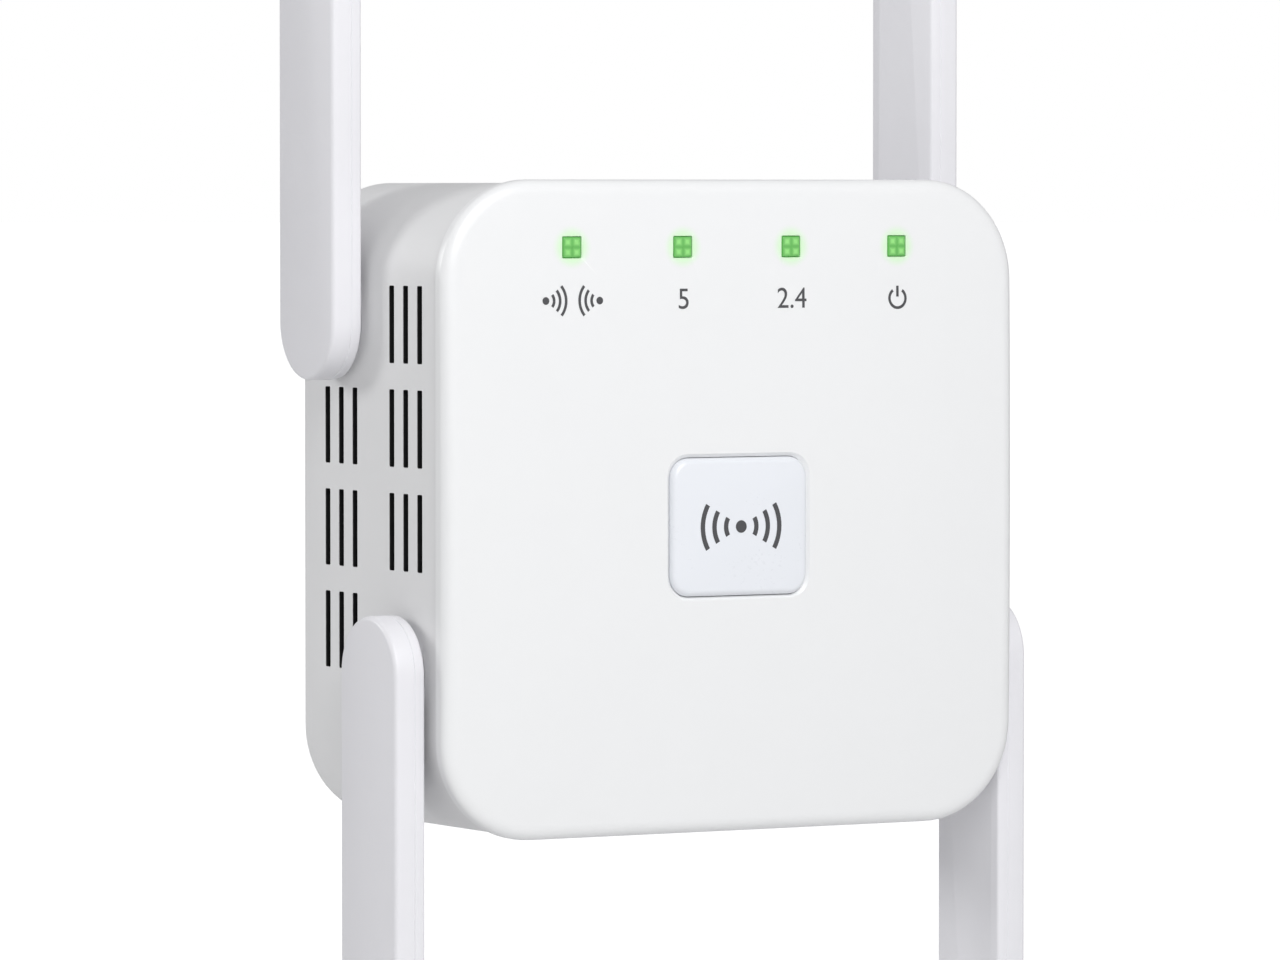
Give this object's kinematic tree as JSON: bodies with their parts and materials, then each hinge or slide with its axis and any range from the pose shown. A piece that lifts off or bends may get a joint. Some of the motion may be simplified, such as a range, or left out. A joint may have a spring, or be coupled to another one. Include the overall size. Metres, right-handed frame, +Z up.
{
  "type": "wifi range extender",
  "caption": "Square plug-in wifi range extender with flat swing-out side antennas, a front push button, status lights, side vents and a round-pin mains plug on its back.",
  "frame": {"origin": "centre of the plug's contact face, half way between the two pins", "axes": "+Z up along the raised antennas, +Y along the plug pins into the wall, so the front faces -Y; +X to the right seen from the front"},
  "size_m": [0.0878, 0.0745, 0.2715],
  "materials": {
    "cover": "smooth moulded white, fine satin gloss",
    "housing": "fine-textured moulded pale grey",
    "antenna": "fine-textured moulded pale grey",
    "plug": "fine-textured moulded pale grey",
    "button": "smooth moulded white",
    "light_guide": "clear acrylic lit green",
    "led": "clear resin over a small chip",
    "label": "silver-grey film",
    "plated_brass": "nickel-plated brass",
    "screw_steel": "zinc-plated steel",
    "tinned_steel": "tinned sheet steel",
    "heat_sink": "anodised aluminium",
    "gold": "gold-plated contact",
    "copper": "bare copper foil",
    "green_board": "green solder mask on glass fibre board",
    "tan_board": "bare phenolic board",
    "chip": "moulded black epoxy",
    "black_plastic": "black moulded plastic",
    "plunger": "tan moulded plastic",
    "thermal_pad": "soft blue-grey silicone pad",
    "ferrite": "fired ferrite",
    "winding_tape": "yellow polyester tape",
    "capacitor_sleeve": "dark shrink sleeve",
    "fuse_body": "brown ceramic body",
    "rubber": "firm black rubber",
    "cable": "thin black coaxial sheath"
  },
  "bodies": {
    "root": {"front_cover": "cover", "rear_housing": "housing", "plug_base": "plug", "left_plug_pin": "plated_brass", "right_plug_pin": "plated_brass", "housing_screws": "screw_steel", "rating_label": "label", "light_guides": "light_guide", "status_leds": "led", "main_board": "green_board", "processor": "chip", "thermal_pad": "thermal_pad", "heat_sink": "heat_sink", "memory_chip": "chip", "radio_chips": "chip", "radio_shields": "tinned_steel", "antenna_sockets": "gold", "ethernet_transformer": "chip", "ethernet_jack_shell": "tinned_steel", "ethernet_jack_insert": "black_plastic", "ethernet_contacts": "gold", "pairing_switch_body": "black_plastic", "reset_switch_body": "black_plastic", "board_screws": "screw_steel", "power_board": "tan_board", "transformer_core": "ferrite", "transformer_winding": "winding_tape", "input_capacitors": "capacitor_sleeve", "output_capacitors": "capacitor_sleeve", "bridge_rectifier": "chip", "fuse": "fuse_body", "input_inductor": "ferrite", "power_controller": "chip", "link_header": "black_plastic", "link_pins": "gold", "friction_washers": "rubber", "upper_left_antenna_cable": "cable", "upper_right_antenna_cable": "cable", "lower_left_antenna_cable": "cable", "lower_right_antenna_cable": "cable"},
    "button": {"pairing_button": "button"},
    "button_plunger": {"pairing_switch_plunger": "plunger"},
    "reset_plunger": {"reset_switch_plunger": "plunger"},
    "upper_left_antenna": {"upper_left_antenna_outer_shell": "antenna", "upper_left_antenna_inner_shell": "antenna", "upper_left_antenna_radiator": "copper", "upper_left_antenna_retaining_clip": "screw_steel"},
    "upper_right_antenna": {"upper_right_antenna_outer_shell": "antenna", "upper_right_antenna_inner_shell": "antenna", "upper_right_antenna_radiator": "copper", "upper_right_antenna_retaining_clip": "screw_steel"},
    "lower_left_antenna": {"lower_left_antenna_outer_shell": "antenna", "lower_left_antenna_inner_shell": "antenna", "lower_left_antenna_radiator": "copper", "lower_left_antenna_retaining_clip": "screw_steel"},
    "lower_right_antenna": {"lower_right_antenna_outer_shell": "antenna", "lower_right_antenna_inner_shell": "antenna", "lower_right_antenna_radiator": "copper", "lower_right_antenna_retaining_clip": "screw_steel"}
  },
  "joints": [
    {"name": "button_press", "type": "slide", "parent": "root", "child": "button", "axis": [0, 1, 0], "range_m": [0, 0.0004], "stiffness_N_per_m": 800, "springref_m": -0.0003},
    {"name": "button_plunger_press", "type": "slide", "parent": "root", "child": "button_plunger", "axis": [0, 1, 0], "range_m": [0, 0.0004]},
    {"name": "reset_press", "type": "slide", "parent": "root", "child": "reset_plunger", "axis": [0, 0, 1], "range_m": [0, 0.0003], "stiffness_N_per_m": 800, "springref_m": -0.0003},
    {"name": "upper_left_antenna_swing", "type": "hinge", "parent": "root", "child": "upper_left_antenna", "pos_m": [-0.0419, -0.0272, 0.022], "axis": [1, 0, 0], "range_deg": [0, 90]},
    {"name": "upper_right_antenna_swing", "type": "hinge", "parent": "root", "child": "upper_right_antenna", "pos_m": [0.0419, -0.0272, 0.022], "axis": [1, 0, 0], "range_deg": [0, 90]},
    {"name": "lower_left_antenna_swing", "type": "hinge", "parent": "root", "child": "lower_left_antenna", "pos_m": [-0.0419, -0.043, -0.0195], "axis": [-1, 0, 0], "range_deg": [0, 90]},
    {"name": "lower_right_antenna_swing", "type": "hinge", "parent": "root", "child": "lower_right_antenna", "pos_m": [0.0419, -0.043, -0.0195], "axis": [-1, 0, 0], "range_deg": [0, 90]}
  ],
  "couplings": [
    {"joint": "button_plunger_press", "follows": "button_press", "ratio": 1}
  ]
}
